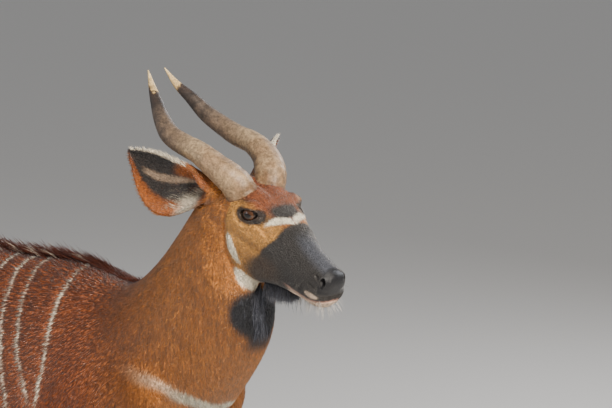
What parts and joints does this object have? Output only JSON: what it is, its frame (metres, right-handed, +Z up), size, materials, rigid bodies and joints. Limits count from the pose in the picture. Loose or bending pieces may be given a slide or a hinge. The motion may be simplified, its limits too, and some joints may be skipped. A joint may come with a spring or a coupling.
{
  "type": "bongo antelope",
  "caption": "Life-size young adult bongo antelope standing still, with spiral horns, wide ears, throat ruff, back crest and tufted tail.",
  "frame": {"origin": "on the floor under the middle of the whole animal's outline", "axes": "+X forwards along the body, +Y to the animal's left, +Z up"},
  "size_m": [1.8042, 0.4866, 1.5945],
  "materials": {
    "coat": "short chestnut hair with thin cream stripes, dark face and throat",
    "horn": "satin keratin, grey-brown with cream tips",
    "hoof": "dark satin keratin",
    "eye": "wet dark brown"
  },
  "bodies": {
    "root": {"ear_left": "coat", "ear_right": "coat", "eye_left": "eye", "eye_right": "eye", "foreleg_left": "coat", "foreleg_left_left_dewclaw": "hoof", "foreleg_left_left_toe": "hoof", "foreleg_left_right_dewclaw": "hoof", "foreleg_left_right_toe": "hoof", "foreleg_right": "coat", "foreleg_right_left_dewclaw": "hoof", "foreleg_right_left_toe": "hoof", "foreleg_right_right_dewclaw": "hoof", "foreleg_right_right_toe": "hoof", "head": "coat", "hindleg_left": "coat", "hindleg_left_left_dewclaw": "hoof", "hindleg_left_left_toe": "hoof", "hindleg_left_right_dewclaw": "hoof", "hindleg_left_right_toe": "hoof", "hindleg_right": "coat", "hindleg_right_left_dewclaw": "hoof", "hindleg_right_left_toe": "hoof", "hindleg_right_right_dewclaw": "hoof", "hindleg_right_right_toe": "hoof", "horn_left": "horn", "horn_right": "horn", "neck": "coat", "tail": "coat", "torso": "coat"}
  },
  "joints": []
}
